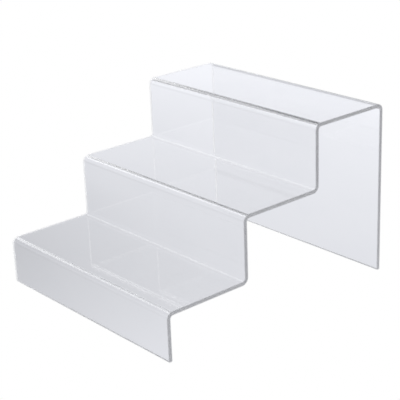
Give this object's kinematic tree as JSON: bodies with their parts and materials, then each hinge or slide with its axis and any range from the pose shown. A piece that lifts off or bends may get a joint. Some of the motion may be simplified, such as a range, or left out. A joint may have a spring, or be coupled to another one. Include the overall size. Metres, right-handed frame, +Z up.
{
  "type": "tiered shelf riser",
  "caption": "Clear acrylic stepped riser heat-bent from flat sheet, with open ends, a short front lip and a full-height back, for displaying jars on a shelf or worktop.",
  "frame": {"origin": "on the floor under the middle of the footprint, halfway between the ends and halfway between the lip's face and the back's face", "axes": "+X along the bend lines, +Y from the front lip to the tall back, +Z up"},
  "size_m": [0.21, 0.24, 0.151],
  "materials": {
    "clear_acrylic": "clear and colourless, polished faces and smooth cut edges"
  },
  "bodies": {
    "root": {"bent_sheet": "clear_acrylic"}
  },
  "joints": []
}
